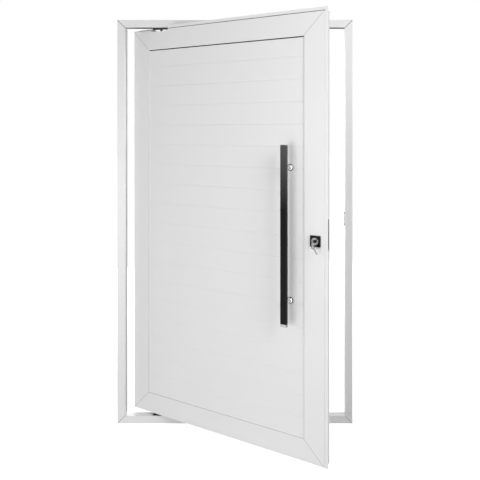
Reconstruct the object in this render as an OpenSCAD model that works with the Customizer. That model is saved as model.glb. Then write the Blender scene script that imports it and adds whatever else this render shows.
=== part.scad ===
// Pivot entry door: a mitred aluminium frame and a leaf that turns on two pivots set in
// from one side. Millimetres, +Z up. X runs across the frame, the front faces -Y, and the
// origin is at the middle of the sill's underside.

/* [Frame] */
// Overall width of the outer frame
frame_w = 1224; // [1100:1:1500]
// Overall height of the outer frame
frame_h = 2100; // [1950:1:2500]
// Depth of the frame from front to back
frame_d = 40; // [36:1:60]
// Width of the header, jamb and sill faces
frame_face = 39; // [30:1:50]
// Wall thickness of the hollow frame extrusions
frame_wall = 2; // [1.5:0.1:3]
// Width of the hairline gap at the frame's mitres
frame_mitre = 0.8; // [0.2:0.1:0.8]

/* [Leaf] */
// Distance of the pivot line from the frame's left edge
pivot_inset = 225; // [215:1:300]
// Angle at which the leaf stands open
leaf_open = 29; // [0:1:60]
// Length of the leaf from the pivot line to its short edge
leaf_short = 166; // [140:1:166]
// Gap between the leaf's long edge and the jamb when closed
lock_gap = 7; // [7:0.5:12]
// Gap under the leaf and over it
leaf_gap = 8.5; // [8:0.5:14]
// Face width of the stiles and rails
profile_w = 102; // [92:1:120]
// Wall thickness of the hollow leaf extrusions
profile_wall = 2; // [1.5:0.1:3]
// Width of the hairline gap at the leaf's mitres
leaf_mitre = 0.4; // [0.2:0.1:0.8]
// Width of the shadow line along the leaf's edges
line_w = 3; // [1.5:0.1:3.5]
// Depth of the shadow line along the leaf's edges
line_d = 7; // [2:0.5:8]
// Clear distance between the closed leaf's lips and the frame
face_gap = 5; // [5:0.5:8]
// Width that a lip stands out past the leaf's edge
lip_w = 14.5; // [12:0.5:16]
// Thickness of a lip
lip_t = 1.5; // [1:0.1:2]
// Depth that a lip lies back from the leaf's face
lip_step = 1; // [0.5:0.1:2]

/* [Infill] */
// Height that one slat covers
slat_pitch = 101.2; // [80:0.1:140]
// Height of the narrower slat at the top, cut to fit
top_slat = 93; // [60:1:100]
// Thickness of the slats
slat_t = 46; // [30:1:47]
// Width of the groove between two slats
groove_w = 2; // [1.5:0.1:5]
// Depth of the groove between two slats
groove_d = 1.2; // [0.8:0.1:4]
// Face width of the beads that hold the slats
bead_w = 3.5; // [3:0.5:8]
// Depth of the beads in front of the slats
bead_d = 2; // [1:0.5:3]

/* [Pivots] */
// Length of a pivot plate
pivot_plate_l = 85; // [70:1:110]
// Width of a pivot plate
pivot_plate_w = 28; // [24:1:34]
// Thickness of the lower pivot plate
lower_plate_t = 3; // [2:0.5:3]
// Thickness of the upper pivot plate
upper_plate_t = 8; // [3:0.5:8]
// Depth of the notch in the leaf under the upper pivot plate
notch_d = 13; // [8:0.5:15]
// Radius of the pivot pins
pin_r = 6; // [4:0.5:8]
// Depth that a pivot pin reaches into the leaf
pin_depth = 26; // [20:1:32]

/* [Lock] */
// Height of the lock's centre above the sill's underside
lock_z = 1037; // [900:1:1100]
// Distance of the lock's centre from the leaf's long edge
lock_inset = 45; // [40:1:50]
// Side of the square escutcheon
rose_side = 49; // [44:1:60]
// Thickness of the escutcheon
rose_t = 7; // [5:1:10]
// Radius of the lock cylinder
cylinder_r = 16.5; // [12:0.5:18]
// Radius of the turning plug
plug_r = 7; // [5:0.5:8]

/* [Handle] */
// Distance of the handle from the leaf's long edge
handle_inset = 173; // [150:1:300]
// Height of the handle's centre
handle_z = 1058; // [1000:1:1100]
// Length of the handle bar
handle_l = 805; // [650:1:900]
// Width of the handle bar
handle_w = 30; // [24:1:40]
// Depth of the handle bar
handle_t = 15; // [10:1:20]
// Distance between the two standoffs
handle_cc = 600; // [500:1:640]
// Length of a standoff
standoff_l = 54; // [45:1:70]
// Radius of a standoff's flanges
standoff_r = 12.5; // [10:0.5:13]
// Radius of a standoff between its flanges
standoff_neck_r = 8.5; // [6:0.5:9]

/* [Hidden] */
$fn = 64;

// A hair's breadth that carries a cut past the face it opens
eps = 0.5;
// Radial clearance of a pin in its bore
running = 0.05;

// The leaf, in its own frame: u along it from the pivot line, v towards the front, z up
pivot_x = pivot_inset - frame_w / 2;
leaf_t = frame_d + 2 * (face_gap + lip_t + lip_step);
leaf_face = leaf_t / 2;
leaf_long = frame_w - frame_face - pivot_inset - lock_gap;
leaf_w = leaf_short + leaf_long;
leaf_z = frame_face + leaf_gap;
leaf_h = frame_h - 2 * frame_face - 2 * leaf_gap;
leaf_top = leaf_z + leaf_h;
leaf_mid = (leaf_long - leaf_short) / 2;

// The field inside the stiles and rails
field_w = leaf_w - 2 * profile_w;
field_h = leaf_h - 2 * profile_w;
field_z = leaf_z + profile_w;
slat_count = 1 + ceil((field_h - top_slat) / slat_pitch);
bottom_slat = field_h - top_slat - slat_pitch * (slat_count - 2);
tongue_w = 6;
tongue_h = 8;
joint_slack = 0.3;

// The lips stop short of the pivot, where the leaf's two halves pass through the frame
lip_start = 65;
lip_foot_d = 12;

lock_u = leaf_long - lock_inset;
handle_u = leaf_long - handle_inset;

// Places its child in the leaf's own frame: u becomes X, the front is -Y
module on_leaf() {
    translate([pivot_x, 0, 0])
        rotate([0, 0, -leaf_open])
            children();
}

// Moves a bar, made along X with its outer edge at z = 0, to one side of a w by h rectangle
module on_side(side, w, h) {
    if (side == "bottom") translate([-w / 2, 0, 0]) children();
    if (side == "right") translate([w / 2, 0, 0]) rotate([0, -90, 0]) children();
    if (side == "top") translate([w / 2, 0, h]) rotate([0, 180, 0]) children();
    if (side == "left") translate([-w / 2, 0, h]) rotate([0, 90, 0]) children();
}

// Extrudes a section, drawn with y first and z second, for a length along X
module along_x(length) {
    rotate([90, 0, 90])
        linear_extrude(length)
            children();
}

// A bar of one section, face high, mitred at both ends to leave half a gap at each
module mitred(length, face, depth, gap) {
    cut = gap / sqrt(2);
    intersection() {
        along_x(length) children();
        translate([0, depth, 0])
            rotate([90, 0, 0])
                linear_extrude(2 * depth)
                    polygon([[cut, 0], [length - cut, 0], [length - face - cut, face], [face + cut, face]]);
    }
}

function side_length(side, w, h) = side == "top" || side == "bottom" ? w : h;

module frame_bar(side) {
    on_side(side, frame_w, frame_h)
        mitred(side_length(side, frame_w, frame_h), frame_face, frame_d, frame_mitre)
            difference() {
                translate([-frame_d / 2, 0]) square([frame_d, frame_face]);
                translate([-frame_d / 2 + frame_wall, frame_wall])
                    square([frame_d - 2 * frame_wall, frame_face - 2 * frame_wall]);
            }
}

// Bores for the frame's fixings, through both walls of a jamb
fixing_r = 4;
fixing_inset = 250;
fixings = [fixing_inset, frame_h - fixing_inset];

module jamb(side) {
    sign = side == "left" ? -1 : 1;
    difference() {
        frame_bar(side);
        for (z = fixings)
            translate([sign * (frame_w / 2 - frame_face / 2), 0, z])
                rotate([0, 90, 0])
                    cylinder(r = fixing_r, h = frame_face + 2 * eps, center = true);
    }
}

strike_h = 76;
strike_w = 24;
strike_t = 1.5;
strike_z = 1064;
bolt_slot = [14, 34];

module sill() color("whitesmoke") frame_bar("bottom");
module header() color("whitesmoke") frame_bar("top");
module jamb_left() color("whitesmoke") jamb("left");
module jamb_right() color("whitesmoke")
    difference() {
        jamb("right");
        translate([frame_w / 2 - frame_face, 0, strike_z])
            cube([4 * frame_wall, bolt_slot[0], bolt_slot[1]], center = true);
    }

// A flat plate on z = 0, length along X, with rounded corners
module plate(length, width, thickness, corner) {
    linear_extrude(thickness) {
        square([length - 2 * corner, width], center = true);
        square([length, width - 2 * corner], center = true);
        for (x = [-1, 1], y = [-1, 1])
            translate([x * (length / 2 - corner), y * (width / 2 - corner)]) circle(corner);
    }
}

module strike_plate() color("dimgray")
    translate([frame_w / 2 - frame_face, 0, strike_z])
        rotate([0, -90, 0])
            difference() {
                plate(strike_h, strike_w, strike_t, 4);
                cube([bolt_slot[1], bolt_slot[0], 4 * strike_t], center = true);
            }

// A pivot plate with its pin, made for the sill and turned over for the header
module pivot(plate_t, collar) {
    plate(pivot_plate_l, pivot_plate_w, plate_t, 4);
    cylinder(r = pin_r + 5, h = collar);
    cylinder(r = pin_r, h = leaf_gap + pin_depth);
}

module lower_pivot() color("black")
    translate([pivot_x, 0, frame_face])
        pivot(lower_plate_t, leaf_gap - 1);

module upper_pivot() color("black")
    translate([pivot_x, 0, frame_h - frame_face])
        rotate([180, 0, 0])
            pivot(upper_plate_t, upper_plate_t);

// The outline of a stile or rail, with a shadow line along its outer edge on both faces
module leaf_outline() {
    difference() {
        translate([-leaf_face, 0]) square([leaf_t, profile_w]);
        for (s = [-1, 1])
            translate([s * leaf_face - line_d, -eps]) square([2 * line_d, line_w + eps]);
    }
}

// The same with its two chambers, parted by a web
module leaf_section() {
    inner = leaf_t - 2 * profile_wall;
    web = profile_w / 2;
    difference() {
        leaf_outline();
        difference() {
            translate([-inner / 2, profile_wall]) square([inner, web - profile_wall]);
            for (s = [-1, 1])
                translate([s * leaf_face - line_d - profile_wall, 0])
                    square([2 * (line_d + profile_wall), line_w + profile_wall]);
        }
        translate([-inner / 2, web + profile_wall])
            square([inner, profile_w - web - 2 * profile_wall]);
    }
}

// One stile or rail of the section given
module leaf_bar(side) {
    on_leaf()
        translate([leaf_mid, 0, leaf_z])
            on_side(side, leaf_w, leaf_h)
                mitred(side_length(side, leaf_w, leaf_h), profile_w, leaf_t, leaf_mitre)
                    children();
}

// The notch in the leaf's top that clears the upper pivot plate, grown by its lining
notch = [-50, 65];
module pivot_notch(grow) {
    on_leaf()
        translate([notch[0] - grow, -leaf_t, leaf_top - notch_d - grow])
            cube([notch[1] - notch[0] + 2 * grow, 2 * leaf_t, 2 * notch_d]);
}

// The bores for the pivot bushes
bush_r = 12;
bush_h = pin_depth + 6;
module bush_bore(z) {
    translate([pivot_x, 0, z]) cylinder(r = bush_r, h = 2 * bush_h, center = true);
}

module stile_lock() color("white")
    difference() {
        leaf_bar("right") leaf_section();
        on_leaf() lock_pocket();
    }
module stile_pivot() color("white") leaf_bar("left") leaf_section();
module rail_bottom() color("white")
    difference() {
        leaf_bar("bottom") leaf_section();
        bush_bore(leaf_z);
    }
module rail_top() color("white")
    difference() {
        union() {
            leaf_bar("top") leaf_section();
            intersection() {
                leaf_bar("top") leaf_outline();
                pivot_notch(profile_wall);
            }
        }
        pivot_notch(0);
        bush_bore(leaf_top - notch_d);
    }

// A turned bush with a blind bore, its open end at z = 0 and its body above
module bush() {
    difference() {
        cylinder(r = bush_r, h = bush_h);
        translate([0, 0, -eps]) cylinder(r = pin_r + running, h = pin_depth + 2 + eps);
    }
}

module pivot_bush_bottom() color("silver")
    translate([pivot_x, 0, leaf_z]) bush();
module pivot_bush_top() color("silver")
    translate([pivot_x, 0, leaf_top - notch_d]) rotate([180, 0, 0]) bush();

// A lip's section: the flange outside the leaf's edge and a foot on the edge itself.
// y is across the leaf with the front at -y, z goes outwards from the leaf's edge.
module lip_section() {
    front = -leaf_face + lip_step;
    translate([front, -lip_w]) square([lip_t, lip_w]);
    translate([front, -lip_t]) square([lip_foot_d, lip_t]);
}

// A lip along one side of the leaf, mitred at the far top corner
module lip_bar(side) {
    long = side_length(side, leaf_w, leaf_h);
    start = side == "top" ? -lip_w : 0;
    translate([leaf_mid, 0, leaf_z])
        on_side(side, leaf_w, leaf_h)
            intersection() {
                translate([-lip_w, 0, 0])
                    along_x(long + 2 * lip_w) lip_section();
                translate([0, leaf_t, 0])
                    rotate([90, 0, 0])
                        linear_extrude(2 * leaf_t)
                            polygon([[start, -lip_w], [long + lip_w, -lip_w], [long, 0], [0, 0]]);
            }
}

// Keeps the part of the top lip that lies past u = start
module top_lip(start) {
    intersection() {
        lip_bar("top");
        translate([start, -leaf_t, leaf_top - 2 * lip_w])
            cube([leaf_w, 2 * leaf_t, 4 * lip_w]);
    }
}

// The back lips are front lips turned half round and brought to the short side
module to_back() {
    on_leaf() translate([2 * leaf_mid, 0, 0]) rotate([0, 0, 180]) children();
}

module lip_front_right() color("white") on_leaf() lip_bar("right");
module lip_front_top() color("white") on_leaf() top_lip(lip_start);
module lip_back_left() color("white") to_back() lip_bar("right");
module lip_back_top() color("white") to_back() top_lip(2 * leaf_mid + lip_start);

// The section of one interlocking slat of height h: a tongue on top, a groove below, and
// a rebate along the top of both faces that leaves the open groove between two slats
module slat_section(h, tongue) {
    half = slat_t / 2;
    difference() {
        union() {
            translate([-half, 0]) square([slat_t, h]);
            if (tongue) translate([-tongue_w / 2, h - eps]) square([tongue_w, tongue_h + eps]);
        }
        if (tongue)
            for (s = [-1, 1])
                translate([s * half, h]) polygon([[0, eps], [0, -groove_w], [-s * groove_d, -groove_w / 2],
                                                  [-s * groove_d, eps]]);
    }
}

module slat_groove() {
    translate([-tongue_w / 2 - joint_slack, -eps])
        square([tongue_w + 2 * joint_slack, tongue_h + joint_slack + eps]);
}

function slat_height(i) = i == 0 ? bottom_slat : i == slat_count - 1 ? top_slat : slat_pitch;
function slat_base(i) = i == 0 ? 0 : bottom_slat + (i - 1) * slat_pitch;

module slat(i) {
    translate([leaf_mid - field_w / 2, 0, field_z + slat_base(i)])
        along_x(field_w)
            difference() {
                slat_section(slat_height(i), i < slat_count - 1);
                if (i > 0) slat_groove();
            }
}

module slats_odd() color("white")
    on_leaf() for (i = [0 : 2 : slat_count - 1]) slat(i);
module slats_even() color("white")
    on_leaf() for (i = [1 : 2 : slat_count - 1]) slat(i);

// A glazing bead: a slim strip with its inner front edge taken off
module bead_section() {
    front = -slat_t / 2 - bead_d;
    polygon([[front, 0], [-slat_t / 2, 0], [-slat_t / 2, bead_w], [front + 1, bead_w], [front, bead_w - 1]]);
}

module bead(side, face) {
    on_leaf()
        mirror([0, face == "back" ? 1 : 0, 0])
            translate([leaf_mid, 0, field_z])
                on_side(side, field_w, field_h)
                    mitred(side_length(side, field_w, field_h), bead_w, leaf_t, 0)
                        bead_section();
}

module bead_front_bottom() color("whitesmoke") bead("bottom", "front");
module bead_front_right() color("whitesmoke") bead("right", "front");
module bead_front_top() color("whitesmoke") bead("top", "front");
module bead_front_left() color("whitesmoke") bead("left", "front");
module bead_back_bottom() color("whitesmoke") bead("bottom", "back");
module bead_back_right() color("whitesmoke") bead("right", "back");
module bead_back_top() color("whitesmoke") bead("top", "back");
module bead_back_left() color("whitesmoke") bead("left", "back");

// The lock
faceplate_w = 24;
faceplate_back = 4;
faceplate_h = 138;
faceplate_t = 2;
faceplate_z = 1062;
case_t = 16;
case_h = 130;
case_d = profile_w - 12;
bolt = [12, 30];

module lock_pocket() {
    translate([leaf_long, faceplate_back, faceplate_z])
        cube([4 * profile_wall, faceplate_w, faceplate_h], center = true);
    translate([leaf_long - case_d - faceplate_t, -case_t / 2, faceplate_z - case_h / 2])
        cube([case_d, case_t, case_h]);
    translate([lock_u, 0, lock_z])
        rotate([90, 0, 0])
            cylinder(r = cylinder_r, h = leaf_t + 2 * eps, center = true);
}

module lock_faceplate() color("dimgray")
    on_leaf()
        translate([leaf_long - faceplate_t / 2, 0, faceplate_z])
            difference() {
                translate([0, faceplate_back, 0])
                    cube([faceplate_t, faceplate_w, faceplate_h], center = true);
                cube([faceplate_t + 2 * eps, bolt[0], bolt[1]], center = true);
            }

// The case behind the faceplate, with its bolt drawn back flush
module lock_case() color("gray")
    on_leaf()
        difference() {
            union() {
                translate([leaf_long - faceplate_t - case_d, -case_t / 2, faceplate_z - case_h / 2])
                    cube([case_d, case_t, case_h]);
                translate([leaf_long - faceplate_t / 2 - eps, 0, faceplate_z])
                    cube([faceplate_t + 2 * eps, bolt[0], bolt[1]], center = true);
            }
            translate([leaf_long, -case_t, faceplate_z - case_h])
                cube([case_t, 2 * case_t, 2 * case_h]);
            translate([lock_u, 0, lock_z])
                rotate([90, 0, 0])
                    cylinder(r = cylinder_r, h = 2 * case_t, center = true);
        }

module escutcheon(face) {
    sign = face == "front" ? -1 : 1;
    on_leaf()
        translate([lock_u, sign * (leaf_face + rose_t / 2), lock_z])
            difference() {
                cube([rose_side, rose_t, rose_side], center = true);
                rotate([90, 0, 0])
                    cylinder(r = cylinder_r, h = rose_t + 2 * eps, center = true);
            }
}

module escutcheon_front() color([0.06, 0.06, 0.06]) escutcheon("front");
module escutcheon_back() color([0.06, 0.06, 0.06]) escutcheon("back");

// The cylinder runs right through the leaf, with the plug's bore in its front end
cylinder_proud = 3;
rim_w = 2;
rim_d = 1.5;
plug_depth = 30;
plug_proud = 1;
cylinder_l = leaf_t + 2 * (rose_t + cylinder_proud);
cylinder_front = cylinder_l / 2;

module lock_cylinder() color("silver")
    on_leaf()
        translate([lock_u, 0, lock_z])
            rotate([90, 0, 0])
                difference() {
                    cylinder(r = cylinder_r, h = cylinder_l, center = true);
                    for (s = [-1, 1])
                        translate([0, 0, s * cylinder_front])
                            cylinder(r = cylinder_r - rim_w, h = 2 * rim_d, center = true);
                    translate([0, 0, cylinder_front - plug_depth])
                        cylinder(r = plug_r + running, h = plug_depth + eps);
                }

module key_plug() color("silver")
    on_leaf()
        translate([lock_u, 0, lock_z])
            rotate([90, 0, 0])
                translate([0, 0, cylinder_front - plug_depth + 1])
                    cylinder(r = plug_r, h = plug_depth - 1 + plug_proud);

// A flat key with its neck at the origin, its bow above and its blade below
key_t = 2.2;
bow_r = 9;
bow_hole_r = 3;
blade_w = 7;
blade_l = 18;
neck_l = 8;
bitting = [1.6, 2.6, 1.2, 2.2];
bit_pitch = 3.8;
key_hole = neck_l + 1.45 * bow_r;
module key_shape(bare_l) {
    difference() {
        union() {
            translate([0, bow_r + neck_l]) circle(bow_r);
            translate([-blade_w / 2, -bare_l]) square([blade_w, bare_l + neck_l + 4]);
        }
        translate([0, key_hole]) circle(bow_hole_r);
        if (bare_l > 0)
            for (i = [0 : len(bitting) - 1])
                translate([blade_w / 2, -bit_pitch * (i + 1)])
                    polygon([[eps, -1.8], [-bitting[i], -0.4], [-bitting[i], 0.4], [eps, 1.8]]);
    }
}

// The key in the lock stands upright, out from the plug
key_v = cylinder_front + plug_proud;
module key() color("silver")
    on_leaf()
        translate([lock_u, -key_v, lock_z])
            rotate([0, 90, 0])
                mirror([0, 1, 0])
                    linear_extrude(key_t, center = true)
                        key_shape(0);

// The ring hangs in the key's bow, and the spare key hangs from the ring's lowest point
ring_r = 8;
ring_wire_r = 0.9;
ring_drop = 1.6;
spare_tilt = 36;
module on_ring_top() {
    on_leaf()
        translate([lock_u, -key_v - key_hole, lock_z])
            children();
}

module key_ring() color("silver")
    on_ring_top()
        translate([0, 0, -ring_drop - ring_r])
            rotate([0, 0, -45])
                rotate([90, 0, 0])
                    rotate_extrude()
                        translate([ring_r, 0]) circle(ring_wire_r);

module spare_key() color("gray")
    on_ring_top()
        translate([0, 0, -2 * (ring_drop + ring_r)])
            rotate([90, -spare_tilt, 0])
                linear_extrude(key_t, center = true)
                    translate([0, -key_hole])
                        key_shape(blade_l);

// The pull handle, made for the front and mirrored to the back
module handle_side(face) {
    on_leaf()
        mirror([0, face == "back" ? 1 : 0, 0])
            translate([handle_u, -slat_t / 2, handle_z])
                children();
}

// Half a standoff's section: a flange on the slats, a waist, and a flange under the bar
flange_t = 6;
module standoff_profile() {
    waist = standoff_r - standoff_neck_r;
    polygon([[0, 0], [standoff_r, 0], [standoff_r, flange_t],
             [standoff_neck_r, flange_t + waist], [standoff_neck_r, standoff_l - flange_t - waist],
             [standoff_r, standoff_l - flange_t], [standoff_r, standoff_l], [0, standoff_l]]);
}

module standoffs(face) {
    handle_side(face)
        for (s = [-1, 1])
            translate([0, 0, s * handle_cc / 2])
                rotate([90, 0, 0])
                    rotate_extrude() standoff_profile();
}

cap_h = 12;
bar_round = 6;
module bar_outline(z0, z1, top) {
    translate([-handle_w / 2, z0]) square([handle_w, z1 - z0 - (top ? bar_round : 0)]);
    if (top) {
        translate([-handle_w / 2, z1 - bar_round - eps]) square([handle_w - bar_round, bar_round + eps]);
        translate([handle_w / 2 - bar_round, z1 - bar_round]) circle(bar_round);
    }
}

module handle_bar(face) {
    handle_side(face)
        translate([0, -standoff_l, 0])
            rotate([90, 0, 0])
                linear_extrude(handle_t)
                    bar_outline(cap_h - handle_l / 2, handle_l / 2, true);
}

module handle_cap(face) {
    handle_side(face)
        translate([0, -standoff_l, 0])
            rotate([90, 0, 0])
                linear_extrude(handle_t)
                    bar_outline(-handle_l / 2, cap_h - handle_l / 2, false);
}

module standoffs_front() color("silver") standoffs("front");
module handle_front() color([0.04, 0.04, 0.04]) handle_bar("front");
module handle_cap_front() color("silver") handle_cap("front");
module standoffs_back() color("silver") standoffs("back");
module handle_back() color([0.04, 0.04, 0.04]) handle_bar("back");
module handle_cap_back() color("silver") handle_cap("back");

sill();
jamb_right();
header();
jamb_left();
upper_pivot();
lower_pivot();
strike_plate();
stile_lock();
rail_top();
rail_bottom();
stile_pivot();
pivot_bush_top();
pivot_bush_bottom();
lip_front_right();
lip_front_top();
lip_back_left();
lip_back_top();
slats_odd();
slats_even();
bead_front_bottom();
bead_front_right();
bead_front_top();
bead_front_left();
bead_back_bottom();
bead_back_right();
bead_back_top();
bead_back_left();
lock_case();
lock_faceplate();
escutcheon_front();
escutcheon_back();
lock_cylinder();
key_plug();
key();
key_ring();
spare_key();
standoffs_front();
handle_front();
handle_cap_front();
standoffs_back();
handle_back();
handle_cap_back();
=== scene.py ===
"""Dresses a white aluminium pivot entry door: finishes, screws, seals, joint lines, keyways and studio."""

import enum
import logging
import math
from dataclasses import dataclass
from typing import Callable

import bmesh
import bpy
from mathutils import Matrix, Vector


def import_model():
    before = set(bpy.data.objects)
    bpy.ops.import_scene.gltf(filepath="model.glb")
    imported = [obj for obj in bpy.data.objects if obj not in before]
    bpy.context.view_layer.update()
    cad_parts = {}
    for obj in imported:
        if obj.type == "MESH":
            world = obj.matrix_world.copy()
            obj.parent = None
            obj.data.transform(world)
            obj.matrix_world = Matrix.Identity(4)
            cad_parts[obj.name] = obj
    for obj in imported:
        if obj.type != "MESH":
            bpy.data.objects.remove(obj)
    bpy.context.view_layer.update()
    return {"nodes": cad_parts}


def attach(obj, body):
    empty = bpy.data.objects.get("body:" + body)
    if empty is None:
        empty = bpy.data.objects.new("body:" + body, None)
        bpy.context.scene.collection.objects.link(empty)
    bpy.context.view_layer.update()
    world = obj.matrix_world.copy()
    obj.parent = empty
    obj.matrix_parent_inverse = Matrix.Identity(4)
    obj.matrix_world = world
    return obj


# Where something starts and ends along one direction
Span = tuple[float, float]

LOG = logging.getLogger("pivot_door")
MM = 0.001
WHITE = "FFFFFF"
# Sockets of a colour Mix node, by number, because their names repeat for each type of data
MIX_A, MIX_B, MIX_RESULT = 6, 7, 2
NOISE_DETAIL = 2.0
# Most values of a noise lie between these two
NOISE_SPAN = (0.3, 0.7)
# Sides of a block whose corners come row by row, the low four first
BLOCK_SIDES = ((0, 2, 3, 1), (4, 5, 7, 6), (0, 1, 5, 4), (2, 6, 7, 3), (0, 4, 6, 2), (1, 3, 7, 5))


def linear(hex_colour: str) -> tuple[float, float, float, float]:
    """Turns an sRGB hex colour into the linear colour that shaders take.

    Args:
        hex_colour: six hex digits, such as "F2F2F0".

    Returns:
        Linear red, green and blue with an alpha of 1.
    """
    def channel(value: float) -> float:
        """One channel, from 0 to 1."""
        return value / 12.92 if value <= 0.04045 else ((value + 0.055) / 1.055) ** 2.4

    red, green, blue = (channel(int(hex_colour[i:i + 2], 16) / 255) for i in (0, 2, 4))
    return red, green, blue, 1.0


def both(half: float) -> Span:
    """The same distance to either side of a middle."""
    return -half, half


def add_node(tree: bpy.types.NodeTree, kind: str, inputs: dict | None = None,
             **settings: object) -> bpy.types.Node:
    """Adds a node to a shader or geometry tree, with its settings and links.

    Args:
        tree: the tree that gets the node.
        kind: the node's class name.
        inputs: input name or number to a value, or to the output socket that feeds it.
        settings: the node's own properties.

    Returns:
        The new node.
    """
    node = tree.nodes.new(kind)
    for name, value in settings.items():
        setattr(node, name, value)
    for key, value in (inputs or {}).items():
        if isinstance(value, bpy.types.NodeSocket):
            tree.links.new(value, node.inputs[key])
        else:
            node.inputs[key].default_value = value
    return node


class Face(enum.Enum):
    """The two faces of the leaf, each with its direction along v."""

    FRONT = 1
    BACK = -1


class Body(enum.Enum):
    """The rigid bodies that pieces ride on."""

    FRAME = "frame"
    LEAF = "leaf"
    KEYS = "key_set"


@dataclass(frozen=True)
class Finish:
    """A surface finish on metal, paint or rubber, built as one procedural material.

    The bump is two noises on Object coordinates: a coarse one for the waviness of the
    section under the finish, and a fine one for the grain of the finish itself. The tint
    lets the colour drift with the coarse noise. A painted reflection is a second colour that
    takes over between two heights, in metres, where a glossy piece would mirror the room.
    """

    name: str
    slot: str
    colour: str
    metallic: float
    roughness: float
    roughness_spread: float
    grain_mm: float
    grain_height_mm: float
    grain_stretch: tuple[float, float, float] = (1.0, 1.0, 1.0)
    wave_mm: float = 180.0
    wave_height_mm: float = 0.0
    tint: float = 0.0
    specular: float = 0.5
    painted_reflection: str = ""
    painted_reflection_heights: Span = (0.0, 1.0)

    def material(self) -> bpy.types.Material:
        """Builds the material once and returns it afterwards."""
        found = bpy.data.materials.get(self.name)
        if found:
            return found
        made = bpy.data.materials.new(self.name)
        made.use_nodes = True
        tree = made.node_tree
        tree.nodes.clear()
        place = add_node(tree, "ShaderNodeTexCoord").outputs["Object"]
        stretched = add_node(tree, "ShaderNodeMapping", {"Vector": place, "Scale": self.grain_stretch})
        grain = add_node(tree, "ShaderNodeTexNoise", {
            "Vector": stretched.outputs["Vector"], "Scale": 1 / (self.grain_mm * MM), "Detail": NOISE_DETAIL})
        wave = add_node(tree, "ShaderNodeTexNoise", {
            "Vector": place, "Scale": 1 / (self.wave_mm * MM), "Detail": NOISE_DETAIL})
        colour = add_node(tree, "ShaderNodeMix", {
            "Factor": wave.outputs["Fac"], MIX_A: self._shade(1 - self.tint),
            MIX_B: self._shade(1 + self.tint)}, data_type="RGBA")
        # Painted reflection: a second colour between two heights, for the room that a glossy bar mirrors
        if self.painted_reflection:
            height = add_node(tree, "ShaderNodeSeparateXYZ", {"Vector": place})
            share = add_node(tree, "ShaderNodeMapRange", {
                "Value": height.outputs["Z"], "From Min": self.painted_reflection_heights[0],
                "From Max": self.painted_reflection_heights[1]})
            colour = add_node(tree, "ShaderNodeMix", {
                "Factor": share.outputs["Result"], MIX_A: colour.outputs[MIX_RESULT],
                MIX_B: linear(self.painted_reflection)}, data_type="RGBA")
        rough = add_node(tree, "ShaderNodeMapRange", {
            "Value": grain.outputs["Fac"], "From Min": NOISE_SPAN[0], "From Max": NOISE_SPAN[1],
            "To Min": self.roughness - self.roughness_spread,
            "To Max": self.roughness + self.roughness_spread})
        waviness = add_node(tree, "ShaderNodeBump", {
            "Height": wave.outputs["Fac"], "Strength": 1.0, "Distance": self.wave_height_mm * MM})
        surface = add_node(tree, "ShaderNodeBump", {
            "Height": grain.outputs["Fac"], "Strength": 1.0, "Distance": self.grain_height_mm * MM,
            "Normal": waviness.outputs["Normal"]})
        shader = add_node(tree, "ShaderNodeBsdfPrincipled", {
            "Base Color": colour.outputs[MIX_RESULT], "Metallic": self.metallic,
            "Roughness": rough.outputs["Result"], "Normal": surface.outputs["Normal"],
            "Specular IOR Level": self.specular})
        add_node(tree, "ShaderNodeOutputMaterial", {"Surface": shader.outputs["BSDF"]})
        return made

    def _shade(self, factor: float) -> tuple[float, float, float, float]:
        """The colour made lighter or darker, for slow changes over a surface."""
        red, green, blue, _ = linear(self.colour)
        return min(red * factor, 1.0), min(green * factor, 1.0), min(blue * factor, 1.0), 1.0


# Each finish gives its name, slot, colour, metallic, roughness and its spread, then its grain's size and
# height in millimetres

# Polyester powder, baked: satin, with a fine orange peel that breaks up highlights
WHITE_COAT = Finish("white_powder_coat", "white_coat", "ECECEC", 0.0, 0.36, 0.04, 2.2, 0.012,
                    wave_mm=260, wave_height_mm=0.12, tint=0.006)
# The same coat on the drawn beads, a little brighter: a painted highlight for the light their edges catch
BEAD_COAT_PAINTED_HIGHLIGHT = Finish("bead_powder_coat", "white_coat", "FCFCFC", 0.0, 0.32, 0.04, 2.2, 0.010, tint=0.004)
# Black polyester in gloss on handles, escutcheons and strike: deep, over a faint peel. The grey on the
# upper part of the bars is a painted reflection of the room that a glossy bar mirrors
BLACK_GLOSS = Finish("black_gloss_coat", "black_coat", "060607", 0.0, 0.26, 0.03, 3.0, 0.010,
                     wave_mm=120, wave_height_mm=0.05, specular=0.12,
                     painted_reflection="525254", painted_reflection_heights=(1.17, 1.455))
# Black plated steel on the pivots, duller, with a fine cast grain
BLACK_STEEL = Finish("blackened_steel", "black_coat", "2C2C2D", 0.4, 0.5, 0.08, 0.8, 0.02)
# Chrome plate on turned brass: mirror bright, with the faintest haze
CHROME = Finish("chrome_plate", "chrome_plate", "D8D9DB", 1.0, 0.09, 0.03, 6.0, 0.004, tint=0.02)
# Nickel silver of a cut key: mid grey, worn matt by pockets
KEY_METAL = Finish("worn_nickel_silver", "nickel_silver", "808080", 1.0, 0.36, 0.10, 1.6, 0.015, tint=0.06)
# Dark zinc plate on the lock's faceplate and the plug, brushed upright
DARK_ZINC = Finish("dark_brushed_zinc", "dark_steel", "262628", 1.0, 0.38, 0.08, 1.2, 0.012,
                   grain_stretch=(1.0, 1.0, 0.05))
# Smoked chrome on the lock's cylinder: it mirrors about a quarter of what it sees
SMOKED_CHROME = Finish("smoked_chrome_plate", "dark_steel", "8C8D8F", 1.0, 0.2, 0.05, 3.0, 0.008,
                       wave_mm=12, tint=0.3)
# Chrome in two tones on the handles' end caps, hazed by hands
HAZED_CHROME = Finish("hazed_chrome_plate", "chrome_plate", "A8A9AB", 1.0, 0.2, 0.06, 3.0, 0.008,
                      wave_mm=14, tint=0.25)
# Turned steel of the bushes and the lock's case, with a close grain
TURNED_STEEL = Finish("turned_steel", "satin_metal", "A6A7A9", 1.0, 0.32, 0.08, 0.8, 0.01,
                      grain_stretch=(0.1, 0.1, 1.0))
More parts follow.
